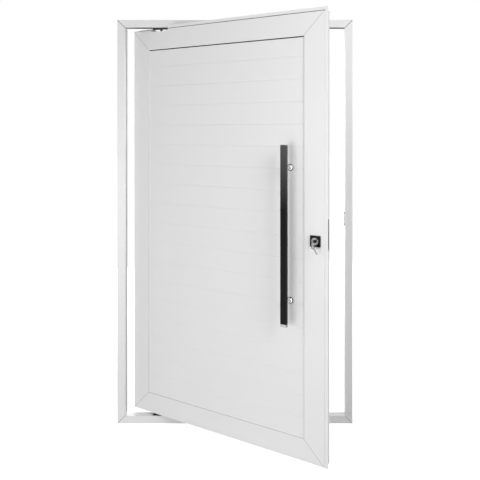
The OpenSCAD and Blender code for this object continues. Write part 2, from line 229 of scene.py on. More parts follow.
# Extruded EPDM rubber: near black and matt. The same black is painted shade in the keyways, under the top
# beads and in the top shadow lines, and in part a painted dark reflection at the standoffs' collars
RUBBER_AND_PAINTED_SHADE = Finish("epdm_rubber", "black_coat", "1A1A1A", 0.0, 0.72, 0.06, 1.5, 0.02, specular=0.3)
# Polypropylene pile of a brush seal: light grey, without shine
PILE = Finish("polypropylene_pile", "black_coat", "C2C3C5", 0.0, 0.9, 0.05, 1.0, 0.02, specular=0.2)
# Acrylic sealant in the leaf's mitres, painted over once and greyed by dust
GREY_SEALANT = Finish("greyed_acrylic_sealant", "white_coat", "C6C6C6", 0.0, 0.8, 0.05, 2.0, 0.01,
                      specular=0.2)
# The same sealant round the field and low on the frame, where more dust lies
DUSTY_SEALANT = Finish("dusty_acrylic_sealant", "white_coat", "9A9A9A", 0.0, 0.85, 0.05, 2.0, 0.01,
                       specular=0.2)
# Zinc plated screws, passivated and a little dull
ZINC_SCREW = Finish("zinc_plated_screw", "satin_metal", "8C8D90", 1.0, 0.34, 0.06, 0.8, 0.008)
# Blackened screws of the pivots and the strike
BLACK_SCREW = Finish("blackened_screw", "black_coat", "2A2A2C", 0.8, 0.42, 0.06, 0.8, 0.01)

# The start of a node's name and its finish; the longest start that fits counts
NODE_FINISHES: dict[str, Finish] = {
    "bead_": BEAD_COAT_PAINTED_HIGHLIGHT, "upper_pivot": BLACK_STEEL, "lower_pivot": BLACK_STEEL, "strike_plate": BLACK_GLOSS,
    "lock_faceplate": DARK_ZINC, "lock_case": TURNED_STEEL, "pivot_bush": TURNED_STEEL,
    "escutcheon": BLACK_GLOSS, "handle_front": BLACK_GLOSS, "handle_back": BLACK_GLOSS,
    "handle_cap": HAZED_CHROME, "standoffs": CHROME, "lock_cylinder": SMOKED_CHROME, "key_plug": DARK_ZINC,
    "key_ring": CHROME, "key": KEY_METAL, "spare_key": KEY_METAL}


@dataclass
class Dresser:
    """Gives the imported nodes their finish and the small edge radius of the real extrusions."""

    nodes: dict[str, bpy.types.Object]
    edge_mm: float = 0.6
    sharp_edge_mm: float = 0.3
    edge_segments: int = 2
    weld_mm: float = 0.02
    flat_deg: float = 0.4
    sharp_deg: float = 35.0
    large_face_weight: int = 100

    def dress(self) -> None:
        """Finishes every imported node."""
        for name, node in self.nodes.items():
            finish = self.finish_of(name)
            self.paint(node, finish)
            self.soften(node, self.edge_mm if finish is WHITE_COAT else self.sharp_edge_mm)
            LOG.info("dressed %s in %s", name, finish.name)

    @staticmethod
    def finish_of(name: str) -> Finish:
        """The finish whose node prefix fits best, or the white coat."""
        fits = [prefix for prefix in NODE_FINISHES if name.startswith(prefix)]
        return NODE_FINISHES[max(fits, key=len)] if fits else WHITE_COAT

    @staticmethod
    def paint(node: bpy.types.Object, finish: Finish) -> None:
        """Puts a finish in every material slot of a node."""
        if not node.material_slots:
            node.data.materials.append(finish.material())
        for slot in node.material_slots:
            slot.material = finish.material()

    def soften(self, node: bpy.types.Object, width_mm: float) -> None:
        """Rounds a node's sharp edges with modifiers, its own vertices left as they are.

        Args:
            node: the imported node.
            width_mm: the bevel's width.
        """
        weld = node.modifiers.new("merge", "WELD")
        weld.merge_threshold = self.weld_mm * MM
        planar = node.modifiers.new("flat_faces", "DECIMATE")
        planar.decimate_type = "DISSOLVE"
        planar.angle_limit = math.radians(self.flat_deg)
        bevel = node.modifiers.new("edge", "BEVEL")
        bevel.width = width_mm * MM
        bevel.segments = self.edge_segments
        bevel.limit_method = "ANGLE"
        bevel.angle_limit = math.radians(self.sharp_deg)
        bevel.harden_normals = False
        flat = node.modifiers.new("flat_shading", "WEIGHTED_NORMAL")
        flat.weight = self.large_face_weight


@dataclass(frozen=True)
class DoorPlan:
    """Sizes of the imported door, in millimetres, that the added pieces stand on."""

    frame_w: float = 1224.0
    frame_h: float = 2100.0
    frame_face: float = 39.0
    pivot_x: float = -387.0
    open_deg: float = 29.0
    leaf_short: float = 166.0
    leaf_long: float = 953.0
    leaf_z: float = 47.5
    leaf_top: float = 2052.5
    leaf_face: float = 27.5
    profile_w: float = 102.0
    slat_face: float = 23.0
    bead_w: float = 3.5
    frame_d: float = 40.0
    lip_back_v: float = 25.0
    lip_start: float = 65.0
    lock_u: float = 908.0
    lock_z: float = 1037.0

    @staticmethod
    def on_frame(x: float, y: float, z: float) -> Vector:
        """A point on the frame, in metres."""
        return Vector((x, y, z)) * MM

    def on_leaf(self, u: float, v: float, z: float) -> Vector:
        """A point of the leaf as it stands in the photograph, in metres.

        Args:
            u: distance along the leaf from the pivot line, in millimetres.
            v: distance towards the front from the middle of the leaf, in millimetres.
            z: height, in millimetres.

        Returns:
            The point in the shared frame.
        """
        return (Matrix.Translation((self.pivot_x, 0.0, 0.0)) @ self.leaf_turn() @ Vector((u, -v, z))) * MM

    def opening_half(self) -> float:
        """Half the width between the jambs, in millimetres."""
        return self.frame_w / 2 - self.frame_face

    def field_along(self) -> Span:
        """Where the field of slats starts and ends along the leaf, in millimetres."""
        return self.profile_w - self.leaf_short, self.leaf_long - self.profile_w

    def leaf_turn(self) -> Matrix:
        """How the leaf is turned from closed."""
        return Matrix.Rotation(math.radians(-self.open_deg), 4, "Z")

    def along_leaf(self, u: float, v: float, z: float) -> Vector:
        """A direction given on the leaf, in the shared frame."""
        return self.leaf_turn().to_3x3() @ Vector((u, -v, z))

    def leaf_box(self, along: Span, depths: Span, heights: Span) -> list[Vector]:
        """The corners of a box on the leaf, in the order that add_block takes.

        Args:
            along: where it starts and ends along the leaf, in millimetres.
            depths: its two depths, in either order.
            heights: its foot and its top.

        Returns:
            Eight points in metres.
        """
        return [self.on_leaf(u, v, z) for z in heights for v in sorted(depths) for u in along]


def add_block(name: str, corners: list[Vector], finish: Finish, body: Body) -> bpy.types.Object:
    """Adds a six-sided block that rides on a body.

    Args:
        name: the piece's name.
        corners: eight corners in metres, the low four and then the high four, each row by row.
        finish: what the piece is made of.
        body: the body that it rides on.

    Returns:
        The finished piece.
    """
    mesh = bpy.data.meshes.new(name)
    mesh.from_pydata(corners, [], BLOCK_SIDES)
    shape = bmesh.new()
    shape.from_mesh(mesh)
    bmesh.ops.recalc_face_normals(shape, faces=shape.faces)
    shape.to_mesh(mesh)
    shape.free()
    mesh.materials.append(finish.material())
    piece = bpy.data.objects.new(name, mesh)
    bpy.context.scene.collection.objects.link(piece)
    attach(piece, body.value)
    LOG.info("made %s on %s", name, body.value)
    return piece


class Recipe:
    """A geometry tree that turns points or lines into one plain piece."""

    def __init__(self, name: str, finish: Finish, sizes: dict[str, float | int]) -> None:
        """Starts the tree with its named sizes.

        Args:
            name: the tree's name.
            finish: what the piece is made of.
            sizes: input name to value, in metres or as a count or seed.
        """
        self.finish = finish
        self.sizes = sizes
        self.tree = bpy.data.node_groups.new(name, "GeometryNodeTree")
        face = self.tree.interface
        face.new_socket("Geometry", in_out="INPUT", socket_type="NodeSocketGeometry")
        for size, value in sizes.items():
            kind = "NodeSocketInt" if isinstance(value, int) else "NodeSocketFloat"
            face.new_socket(size, in_out="INPUT", socket_type=kind)
        face.new_socket("Facing", in_out="INPUT", socket_type="NodeSocketVector")
        face.new_socket("Geometry", in_out="OUTPUT", socket_type="NodeSocketGeometry")
        self.given = add_node(self.tree, "NodeGroupInput").outputs

    def close(self, geometry: bpy.types.NodeSocket) -> None:
        """Ends the tree with real geometry in the finish."""
        real = add_node(self.tree, "GeometryNodeRealizeInstances", {"Geometry": geometry})
        painted = add_node(self.tree, "GeometryNodeSetMaterial", {
            "Geometry": real.outputs["Geometry"], "Material": self.finish.material()})
        add_node(self.tree, "NodeGroupOutput", {"Geometry": painted.outputs["Geometry"]})

    def make(self, name: str, lines: list[list[Vector]], facing: Vector, body: Body) -> bpy.types.Object:
        """Runs the tree and keeps the result as a plain mesh on one body.

        Args:
            name: the piece's name.
            lines: the polylines, or single points, that the tree starts from, in metres.
            facing: the direction away from the surface.
            body: the body that the piece rides on.

        Returns:
            The finished piece.
        """
        points = [point for line in lines for point in line]
        edges, first = [], 0
        for line in lines:
            edges += [(first + k, first + k + 1) for k in range(len(line) - 1)]
            first += len(line)
        start = bpy.data.meshes.new(name + "_start")
        start.from_pydata(points, edges, [])
        source = bpy.data.objects.new(name + "_source", start)
        bpy.context.scene.collection.objects.link(source)
        modifier = source.modifiers.new("recipe", "NODES")
        modifier.node_group = self.tree
        turn = facing.to_track_quat("Z", "Y").to_euler()
        for item in self.tree.interface.items_tree:
            if item.in_out == "INPUT" and item.name in self.sizes:
                modifier[item.identifier] = self.sizes[item.name]
            elif item.in_out == "INPUT" and item.name == "Facing":
                modifier[item.identifier] = tuple(turn)
        graph = bpy.context.evaluated_depsgraph_get()
        mesh = bpy.data.meshes.new_from_object(source.evaluated_get(graph))
        bpy.data.objects.remove(source)
        piece = bpy.data.objects.new(name, mesh)
        bpy.context.scene.collection.objects.link(piece)
        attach(piece, body.value)
        LOG.info("made %s, %d faces, on %s", name, len(mesh.polygons), body.value)
        return piece


class ScrewRecipe(Recipe):
    """Round heads with a sunk socket, one at each point."""

    SIDES = 20
    # Socket share of a cap without a socket
    PLAIN = 0.02
    # Shares of the head's height: the socket's depth, and where the head's middle lies over the surface
    SOCKET_DEPTH = 0.8
    MIDDLE = 0.4

    def __init__(self, name: str, finish: Finish, radius_mm: float, height_mm: float, socket: float) -> None:
        """Builds the tree.

        Args:
            name: the tree's name.
            finish: the screws' finish.
            radius_mm: the head's radius.
            height_mm: how far the head stands out.
            socket: the socket's radius as a share of the head's, or PLAIN for a cap.
        """
        super().__init__(name, finish, {
            "Head Radius": radius_mm * MM, "Head Height": height_mm * MM, "Socket Share": socket})
        head = add_node(self.tree, "GeometryNodeMeshCylinder", {
            "Vertices": self.SIDES, "Radius": self.given["Head Radius"], "Depth": self.given["Head Height"]})
        rim = add_node(self.tree, "GeometryNodeExtrudeMesh", {
            "Mesh": head.outputs["Mesh"], "Selection": head.outputs["Top"], "Offset Scale": 0.0})
        inner = add_node(self.tree, "GeometryNodeScaleElements", {
            "Geometry": rim.outputs["Mesh"], "Selection": rim.outputs["Top"],
            "Scale": self.given["Socket Share"]})
        depth = add_node(self.tree, "ShaderNodeMath", {
            0: self.given["Head Height"], 1: -self.SOCKET_DEPTH}, operation="MULTIPLY")
        sunk = add_node(self.tree, "GeometryNodeExtrudeMesh", {
            "Mesh": inner.outputs["Geometry"], "Selection": rim.outputs["Top"],
            "Offset Scale": depth.outputs[0]})
        lift = add_node(self.tree, "ShaderNodeMath", {
            0: self.given["Head Height"], 1: self.MIDDLE}, operation="MULTIPLY")
        place = add_node(self.tree, "ShaderNodeCombineXYZ", {"Z": lift.outputs[0]})
        raised = add_node(self.tree, "GeometryNodeTransform", {
            "Geometry": sunk.outputs["Mesh"], "Translation": place.outputs[0]})
        spread = add_node(self.tree, "GeometryNodeInstanceOnPoints", {
            "Points": self.given["Geometry"], "Instance": raised.outputs["Geometry"],
            "Rotation": self.given["Facing"]})
        self.close(spread.outputs["Instances"])


class PileRecipe(Recipe):
    """A brush seal: a close row of short tufts of slightly uneven size along lines."""

    SEED = 7
    # The smallest and the largest tuft, as shares of the pile's width, width and height
    LEAST = (0.42, 0.42, 0.88)
    MOST = (0.5, 0.5, 1.0)

    def __init__(self, name: str, height_mm: float, width_mm: float = 4.0, spacing_mm: float = 2.0) -> None:
        """Builds the tree.

        Args:
            name: the tree's name.
            height_mm: how far the pile stands out.
            width_mm: the pile's width across the line.
            spacing_mm: distance between two tufts; real pile is far finer than any render shows.
        """
        super().__init__(name, PILE, {
            "Pile Height": height_mm * MM, "Pile Width": width_mm * MM, "Spacing": spacing_mm * MM,
            "Seed": self.SEED})
        line = add_node(self.tree, "GeometryNodeMeshToCurve", {"Mesh": self.given["Geometry"]})
        marks = add_node(self.tree, "GeometryNodeResampleCurve", {
            "Curve": line.outputs["Curve"], "Length": self.given["Spacing"]}, mode="LENGTH")
        size = add_node(self.tree, "ShaderNodeCombineXYZ", {
            "X": self.given["Pile Width"], "Y": self.given["Pile Width"], "Z": self.given["Pile Height"]})
        tuft = add_node(self.tree, "GeometryNodeMeshCube", {"Size": size.outputs[0]})
        half = add_node(self.tree, "ShaderNodeMath", {
            0: self.given["Pile Height"], 1: 0.5}, operation="MULTIPLY")
        up = add_node(self.tree, "ShaderNodeCombineXYZ", {"Z": half.outputs[0]})
        stood = add_node(self.tree, "GeometryNodeTransform", {
            "Geometry": tuft.outputs["Mesh"], "Translation": up.outputs[0]})
        uneven = add_node(self.tree, "FunctionNodeRandomValue", {
            0: self.LEAST, 1: self.MOST, "Seed": self.given["Seed"]}, data_type="FLOAT_VECTOR")
        spread = add_node(self.tree, "GeometryNodeInstanceOnPoints", {
            "Points": marks.outputs["Curve"], "Instance": stood.outputs["Geometry"],
            "Rotation": self.given["Facing"], "Scale": uneven.outputs["Value"]})
        self.close(spread.outputs["Instances"])


class GasketRecipe(Recipe):
    """A round rubber gasket drawn along lines, with closed ends."""

    SIDES = 10

    def __init__(self, name: str, radius_mm: float) -> None:
        """Builds the tree.

        Args:
            name: the tree's name.
            radius_mm: the gasket's radius.
        """
        super().__init__(name, RUBBER_AND_PAINTED_SHADE, {"Gasket Radius": radius_mm * MM, "Sides": self.SIDES})
        line = add_node(self.tree, "GeometryNodeMeshToCurve", {"Mesh": self.given["Geometry"]})
        ring = add_node(self.tree, "GeometryNodeCurvePrimitiveCircle", {
            "Resolution": self.given["Sides"], "Radius": self.given["Gasket Radius"]})
        tube = add_node(self.tree, "GeometryNodeCurveToMesh", {
            "Curve": line.outputs["Curve"], "Profile Curve": ring.outputs["Curve"], "Fill Caps": True})
        self.close(tube.outputs["Mesh"])


class CollarRecipe(Recipe):
    """A round ring at each point, lying against the surface."""

    PATH_SIDES = 28
    SECTION_SIDES = 10

    def __init__(self, name: str, finish: Finish, ring_mm: float, thick_mm: float) -> None:
        """Builds the tree.

        Args:
            name: the tree's name.
            finish: the rings' finish.
            ring_mm: radius of the circle along the middle of the ring.
            thick_mm: radius of the ring's own section.
        """
        super().__init__(name, finish, {"Ring Radius": ring_mm * MM, "Section Radius": thick_mm * MM})
        path = add_node(self.tree, "GeometryNodeCurvePrimitiveCircle", {
            "Resolution": self.PATH_SIDES, "Radius": self.given["Ring Radius"]})
        section = add_node(self.tree, "GeometryNodeCurvePrimitiveCircle", {
            "Resolution": self.SECTION_SIDES, "Radius": self.given["Section Radius"]})
        ring = add_node(self.tree, "GeometryNodeCurveToMesh", {
            "Curve": path.outputs["Curve"], "Profile Curve": section.outputs["Curve"]})
        lift = add_node(self.tree, "ShaderNodeCombineXYZ", {"Z": self.given["Section Radius"]})
        raised = add_node(self.tree, "GeometryNodeTransform", {
            "Geometry": ring.outputs["Mesh"], "Translation": lift.outputs[0]})
        spread = add_node(self.tree, "GeometryNodeInstanceOnPoints", {
            "Points": self.given["Geometry"], "Instance": raised.outputs["Geometry"],
            "Rotation": self.given["Facing"]})
        self.close(spread.outputs["Instances"])


@dataclass
class Fixings:
    """Screws on the plates, caps over the anchor holes, collars at the standoffs and the cylinder's faces."""

    plan: DoorPlan
    screw_r: float = 4.0
    screw_socket: float = 0.45
    plate_screw_out: float = 31.0
    lower_plate_t: float = 3.0
    lower_screw_t: float = 0.9
    upper_plate_t: float = 8.0
    upper_screw_t: float = 0.3
    strike_z: float = 1064.0
    strike_t: float = 1.5
    strike_screw_out: float = 29.0
    strike_screw_r: float = 4.5
    strike_screw_t: float = 2.4
    strike_socket: float = 0.4
    faceplate_z: float = 1062.0
    faceplate_v: float = -4.0
    faceplate_screw_out: float = 58.0
    faceplate_screw_t: float = 0.8
    anchor_heights: Span = (250.0, 1850.0)
    cap_r: float = 6.5
    cap_t: float = 1.0
    handle_u: float = 780.0
    handle_z: float = 1058.0
    handle_cc: float = 600.0
    collar_r: float = 11.5
    collar_t: float = 3.4
    cylinder_v: float = 34.5
    cylinder_face_r: float = 11.5
    cylinder_face_t: float = 0.4
    cylinder_face_hole: float = 0.62

    def build(self) -> None:
        """Makes every screw, cap, collar and face."""
        self._pivot_screws()
        self._strike_screws()
        self._cylinder_faces()
        self._faceplate_screws()
        self._standoff_collars()
        self._anchor_caps()

    def _pivot_screws(self) -> None:
        """Low heads on the lower pivot's plate, and nearly flush ones under the upper pivot's."""
        plan = self.plan
        low = plan.frame_face + self.lower_plate_t
        high = plan.frame_h - plan.frame_face - self.upper_plate_t
        for name, piece, height, z, facing in (
                ("pivot_screws", "lower_pivot_screws", self.lower_screw_t, low, 1),
                ("sunk_screws", "upper_pivot_screws", self.upper_screw_t, high, -1)):
            recipe = ScrewRecipe(name, BLACK_SCREW, self.screw_r, height, self.screw_socket)
            recipe.make(piece,
                        [[plan.on_frame(plan.pivot_x + out, 0, z)] for out in both(self.plate_screw_out)],
                        Vector((0, 0, facing)), Body.FRAME)

    def _strike_screws(self) -> None:
        """Raised heads on the strike plate."""
        plan = self.plan
        recipe = ScrewRecipe("raised_screws", BLACK_SCREW, self.strike_screw_r, self.strike_screw_t,
                             self.strike_socket)
        x = plan.opening_half() - self.strike_t
        recipe.make("strike_screws",
                    [[plan.on_frame(x, 0, self.strike_z + out)] for out in both(self.strike_screw_out)],
                    Vector((-1, 0, 0)), Body.FRAME)

    def _cylinder_faces(self) -> None:
        """Dark rings on the cylinder's ends, round its plug."""
        plan = self.plan
        recipe = ScrewRecipe("cylinder_faces", RUBBER_AND_PAINTED_SHADE, self.cylinder_face_r, self.cylinder_face_t,
                             self.cylinder_face_hole)
        for face in Face:
            recipe.make(f"cylinder_face_{face.name.lower()}",
                        [[plan.on_leaf(plan.lock_u, face.value * self.cylinder_v, plan.lock_z)]],
                        plan.along_leaf(0, face.value, 0), Body.LEAF)

    def _faceplate_screws(self) -> None:
        """Zinc screws at both ends of the lock's faceplate."""
        plan = self.plan
        recipe = ScrewRecipe("plate_screws", ZINC_SCREW, self.screw_r, self.faceplate_screw_t,
                             self.screw_socket)
        recipe.make("faceplate_screws",
                    [[plan.on_leaf(plan.leaf_long, self.faceplate_v, self.faceplate_z + out)]
                     for out in both(self.faceplate_screw_out)],
                    plan.along_leaf(1, 0, 0), Body.LEAF)

    def _standoff_collars(self) -> None:
        """Rubber collars where the standoffs meet the slats, their black in part a painted dark reflection.
        """
        plan = self.plan
        recipe = CollarRecipe("collars", RUBBER_AND_PAINTED_SHADE, self.collar_r, self.collar_t)
        for face in Face:
            recipe.make(f"standoff_collars_{face.name.lower()}",
                        [[plan.on_leaf(self.handle_u, face.value * plan.slat_face, self.handle_z + out)]
                         for out in both(self.handle_cc / 2)],
                        plan.along_leaf(0, face.value, 0), Body.LEAF)

    def _anchor_caps(self) -> None:
        """White caps over the frame's anchor holes."""
        plan = self.plan
        recipe = ScrewRecipe("anchor_caps", WHITE_COAT, self.cap_r, self.cap_t, ScrewRecipe.PLAIN)
        for tag, x, facing in (("left", -plan.opening_half(), 1), ("right", plan.opening_half(), -1)):
            recipe.make(f"anchor_caps_{tag}", [[plan.on_frame(x, 0, z)] for z in self.anchor_heights],
                        Vector((facing, 0, 0)), Body.FRAME)


@dataclass
class Seals:
    """Brushes in the gaps round the leaf, gaskets behind its lips, and strips in its shadow lines, some black
    as painted shadow.
    """

    plan: DoorPlan
    edge_pile: float = 5.5
    jamb_pile: float = 4.5
    jamb_pile_y: float = 12.0
    clear_of_pivot: float = 54.0
    clear_of_notch: float = 70.0
    end_gap: float = 8.0
    gasket_radius: float = 1.5
    gasket_out: float = 10.0
    gasket_sunk: float = 0.3
    gasket_short: float = 2.0
    top_shadow_h: float = 5.0
    top_shadow_sunk: float = 1.0
    top_shadow_out: float = 0.8
    groove_v: float = 7.5
    crown_w: float = 2.2
    crown_in: float = 3.5
    crown_down: float = 0.4
    strip_w: float = 2.6
    strip_in: float = 1.4
    strip_foot: float = 1.0
    strip_head: float = 4.0
    header_seal_w: float = 30.0
    header_seal_t: float = 0.7
    header_seal_sunk: float = 0.2
    clear_of_plate: float = 46.0

    def build(self) -> None:
        """Makes every seal and every strip of painted shadow."""
        self._leaf_piles()
        self._jamb_pile()
        self._gaskets()
        self._painted_top_shadows()
        self._crown_painted_shadows()
        self._edge_strips()
        self._header_seals()

    def _leaf_piles(self) -> None:
        """The brushes under and over the leaf, left out at the pivots."""
        plan = self.plan
        recipe = PileRecipe("leaf_pile", self.edge_pile)
        left, right = -plan.leaf_short + self.end_gap, plan.leaf_long - self.end_gap
        for name, z, up, clear in (("pile_leaf_bottom", plan.leaf_z, -1, self.clear_of_pivot),
                                   ("pile_leaf_top", plan.leaf_top, 1, self.clear_of_notch)):
            lines = [[plan.on_leaf(left, 0, z), plan.on_leaf(-self.clear_of_pivot, 0, z)],
                     [plan.on_leaf(clear, 0, z), plan.on_leaf(right, 0, z)]]
            recipe.make(name, lines, Vector((0, 0, up)), Body.LEAF)

    def _jamb_pile(self) -> None:
        """The upright brush on the pivot jamb."""
        plan = self.plan
        recipe = PileRecipe("jamb_pile", self.jamb_pile)
        x = -plan.opening_half()
        line = [plan.on_frame(x, self.jamb_pile_y, z)
                for z in (plan.frame_face + self.end_gap, plan.frame_h - plan.frame_face - self.end_gap)]
        recipe.make("pile_jamb_left", [line], Vector((1, 0, 0)), Body.FRAME)

    def _gaskets(self) -> None:
        """The gaskets that meet the frame when the leaf shuts."""
        plan = self.plan
        recipe = GasketRecipe("lip_gasket", self.gasket_radius)
        foot, top = plan.leaf_z + self.gasket_short, plan.leaf_top + self.gasket_out
        depth = plan.lip_back_v - self.gasket_radius + self.gasket_sunk
        start = plan.lip_start + self.gasket_short
        for name, edge, start_u, v in (("gasket_front", plan.leaf_long + self.gasket_out, start, depth),
                                       ("gasket_back", -plan.leaf_short - self.gasket_out, -start, -depth)):
            recipe.make(name, [[plan.on_leaf(edge, v, foot), plan.on_leaf(edge, v, top),
                                plan.on_leaf(start_u, v, top)]], Vector((0, 0, 1)), Body.LEAF)

    def _painted_top_shadows(self) -> None:
        """Black strips under the top bead of each face: painted shadow, for the shade under the top rail."""
        plan = self.plan
        high = plan.leaf_top - plan.profile_w - plan.bead_w
        for face in Face:
            depths = (face.value * (plan.slat_face - self.top_shadow_sunk),
                      face.value * (plan.slat_face + self.top_shadow_out))
            add_block(f"top_wedge_{face.name.lower()}",
                      plan.leaf_box(plan.field_along(), depths, (high - self.top_shadow_h, high)),
                      RUBBER_AND_PAINTED_SHADE, Body.LEAF)

    def _crown_painted_shadows(self) -> None:
        """Black strips at the bottom of the shadow lines along the leaf's top: painted shadow that darkens
        them.
        """
        plan = self.plan
        heights = (plan.leaf_top - self.crown_w - self.crown_down, plan.leaf_top - self.crown_down)
        for face in Face:
            for tag, along in (("left", (-plan.leaf_short, -self.clear_of_pivot)),
                               ("right", (self.clear_of_notch, plan.leaf_long))):
                add_block(f"crown_seal_{face.name.lower()}_{tag}",
                          plan.leaf_box(along, self._in_groove(face, self.crown_in), heights),
                          RUBBER_AND_PAINTED_SHADE, Body.LEAF)

    def _edge_strips(self) -> None:
        """The white strips clipped into the upright shadow lines beside the lips."""
        plan = self.plan
        heights = (plan.leaf_z + self.strip_foot, plan.leaf_top - self.strip_head)
        for face, along in ((Face.FRONT, (plan.leaf_long - self.strip_w, plan.leaf_long)),
                            (Face.BACK, (-plan.leaf_short, self.strip_w - plan.leaf_short))):
            add_block(f"edge_strip_{face.name.lower()}",
                      plan.leaf_box(along, self._in_groove(face, self.strip_in), heights),
                      WHITE_COAT, Body.LEAF)

    def _in_groove(self, face: Face, set_back: float) -> Span:
        """The depths of a strip in a shadow line.

        Args:
            face: the face of the leaf.
            set_back: how far the strip lies behind that face, in millimetres.

        Returns:
            The depth at the groove's bottom and at the strip's front.
        """
        front = self.plan.leaf_face
        return face.value * (front - self.groove_v), face.value * (front - set_back)

    def _header_seals(self) -> None:
        """The flat rubber seals under the header, one on each side of the pivot plate."""
        plan = self.plan
        edge = plan.opening_half()
        under = plan.frame_h - plan.frame_face
        heights = (under - self.header_seal_t, under + self.header_seal_sunk)
        for tag, start, end in (("left", -edge, plan.pivot_x - self.clear_of_plate),
                                ("right", plan.pivot_x + self.clear_of_plate, edge)):
            corners = [plan.on_frame(x, y, z)
                       for z in heights for y in both(self.header_seal_w / 2) for x in (start, end)]
            add_block(f"header_seal_{tag}", corners, RUBBER_AND_PAINTED_SHADE, Body.FRAME)


@dataclass
class JointLines:
    """Sealant in the mitres and round the field, on both faces.

    It is dark in the frame's top mitres, dusty at the frame's foot and round the field, and
    greyed in the leaf's mitres.
    """

    plan: DoorPlan
    frame_line_w: float = 2.2
    frame_line_start: float = 1.0
    leaf_line_w: float = 2.4
    leaf_line_start: float = 3.0
    field_line_w: float = 2.2
    field_line_sunk: float = 1.0
    bead_front: float = 25.0
    proud: float = 0.08
    deep: float = 3.0

    def build(self) -> None:
        """Makes all the lines."""
        plan = self.plan
        for side in Face:
            label = side.name.lower()
            self._corners(f"frame_mitres_{label}", both(plan.frame_w / 2), (0.0, plan.frame_h),
                          self.frame_line_start, plan.frame_face, self.frame_line_w,
                          lambda x, v, z: plan.on_frame(x, -v, z), side.value * plan.frame_d / 2,
                          (DUSTY_SEALANT, RUBBER_AND_PAINTED_SHADE), Body.FRAME)
            self._corners(f"leaf_mitres_{label}", (-plan.leaf_short, plan.leaf_long),
                          (plan.leaf_z, plan.leaf_top), self.leaf_line_start, plan.profile_w,
                          self.leaf_line_w, plan.on_leaf, side.value * plan.leaf_face,
                          (GREY_SEALANT, GREY_SEALANT), Body.LEAF)
            self._field(side)

    def _field(self, face: Face) -> None:
        """Lines between the profiles and the beads, along the sides and the foot of one face's field."""
        plan = self.plan
        left, right = plan.field_along()
        low, high = plan.leaf_z + plan.profile_w, plan.leaf_top - plan.profile_w
        width = self.field_line_w
        depths = (face.value * (self.bead_front - self.field_line_sunk),
                  face.value * (self.bead_front + self.proud))
        for tag, along, heights in (("left", (left, left + width), (low, high)),
                                    ("right", (right - width, right), (low, high)),
                                    ("bottom", (left, right), (low, low + width))):
            add_block(f"field_line_{face.name.lower()}_{tag}", plan.leaf_box(along, depths, heights),
                      DUSTY_SEALANT, Body.LEAF)

    def _corners(self, name: str, across: Span, up: Span, start: float, width: float, line_w: float,
                 place: Callable[[float, float, float], Vector], face: float,
                 finishes: tuple[Finish, Finish], body: Body) -> None:
        """Lines from near the outer to the inner corner of a mitred rectangle.

        Args:
            name: the start of the pieces' names.
            across: where the rectangle starts and ends along its first direction.
            up: where it starts and ends in height.
            start: how far in from the outer corner the line starts.
            width: the bars' face width, where the line ends.
            line_w: the line's width.
            place: turns the two directions and the depth into a point in metres.
            face: depth of the face that carries the line.
            finishes: what the lines at the bottom and at the top are made of.
            body: the body that it rides on.
        """
        # Half the line's width, shared between two directions because the mitre runs at 45 degrees
        half = line_w / 2 / math.sqrt(2)
        way = 1 if face > 0 else -1
        near, far = sorted((face - way * self.deep, face + way * self.proud))
        for x, in_x, tag_x in ((across[0], 1, "left"), (across[1], -1, "right")):
            for z, in_z, tag_z, finish in ((up[0], 1, "bottom", finishes[0]),
                                           (up[1], -1, "top", finishes[1])):
                ends = [(x + in_x * d, z + in_z * d) for d in (start, width)]
                corners = [place(px + k * in_x * half, v, pz - k * in_z * half)
                           for px, pz in ends for v in (near, far) for k in (-1, 1)]
                add_block(f"{name}_{tag_z}_{tag_x}", corners, finish, body)


@dataclass
class Keyways:
    """The slots in both ends of the cylinder, their shade painted as black blocks."""

    plan: DoorPlan
    plug_v: float = 38.5
    back_v: float = -36.0
    slot_w: float = 3.0
    slot_h: float = 10.0
    sunk: float = 1.0
    proud: float = 0.15

    def build(self) -> None:
        """Makes the slot that turns with the key and the one at the back."""
        self._slot("keyway_front", self.plug_v, Face.FRONT, Body.KEYS)
        self._slot("keyway_back", self.back_v, Face.BACK, Body.LEAF)

    def _slot(self, name: str, v: float, face: Face, body: Body) -> None:
        """A thin black block that stands for a slot, with the shade in the slot painted black.

        Args:
            name: the piece's name.
            v: where the cylinder's end lies across the leaf.
            face: the leaf's face that the slot is on.
            body: the body that the slot rides on.
        """
        plan = self.plan
        along = tuple(plan.lock_u + out for out in both(self.slot_w / 2))
        heights = tuple(plan.lock_z + out for out in both(self.slot_h / 2))
        depths = (v - face.value * self.sunk, v + face.value * self.proud)
        add_block(name, plan.leaf_box(along, depths, heights), RUBBER_AND_PAINTED_SHADE, body)


@dataclass(frozen=True)
class Lamp:
    """A soft square lamp that faces a point on the door."""

    name: str
    place: tuple[float, float, float]
    aim: tuple[float, float, float]
    side: float
    watts: float

    def add(self) -> None:
        """Adds the lamp to the scene."""
        data = bpy.data.lights.new(self.name, "AREA")
        data.size = self.side
        data.energy = self.watts
        lamp = bpy.data.objects.new(self.name, data)
        lamp.location = self.place
        lamp.rotation_euler = (Vector(self.aim) - Vector(self.place)).to_track_quat("-Z", "Y").to_euler()
        bpy.context.scene.collection.objects.link(lamp)


# Each lamp gives its name, place, aim, side in metres and watts
LAMPS = (
    Lamp("left_front", (-1.4, -3.0, 0.8), (-0.2, 0.0, 0.9), 1.6, 34.5),
    Lamp("upper_right", (1.6, -2.4, 2.4), (0.5, 0.0, 1.7), 1.2, 38.0),
    Lamp("right", (2.4, -2.4, 1.2), (0.3, 0.0, 1.1), 2.0, 19.0),
    Lamp("behind", (-0.7, 3.4, 1.3), (0.0, 0.0, 1.1), 2.4, 80.0),
)


